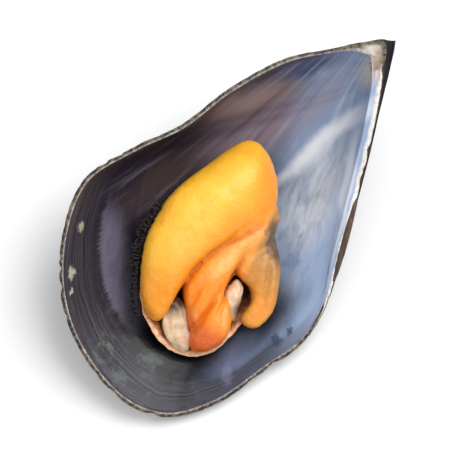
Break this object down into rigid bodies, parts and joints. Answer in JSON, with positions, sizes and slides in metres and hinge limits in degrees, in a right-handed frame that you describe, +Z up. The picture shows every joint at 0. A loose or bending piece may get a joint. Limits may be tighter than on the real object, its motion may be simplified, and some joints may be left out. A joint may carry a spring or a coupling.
{
  "type": "cooked mussel on the half shell",
  "caption": "One mussel valve lying hollow side up, pearly inside and blue-black outside, with its cooked orange meat in it.",
  "frame": {"origin": "on the surface it rests on, under the middle of its bounding box", "axes": "+X from the beak to the wide end, +Y towards the hinge side, +Z up out of the hollow"},
  "size_m": [0.0748, 0.0432, 0.0197],
  "materials": {
    "shell": "satin",
    "ligament": "satin",
    "skirt": "satin",
    "meat": "gloss",
    "pale_meat": "gloss"
  },
  "bodies": {
    "root": {"shell_valve": "shell", "hinge_ligament": "ligament", "mantle_skirt": "skirt", "mantle_lobe": "meat", "body_lobe": "meat", "mantle_flap": "meat", "adductor_muscle": "pale_meat", "gill_fold": "pale_meat"}
  },
  "joints": []
}
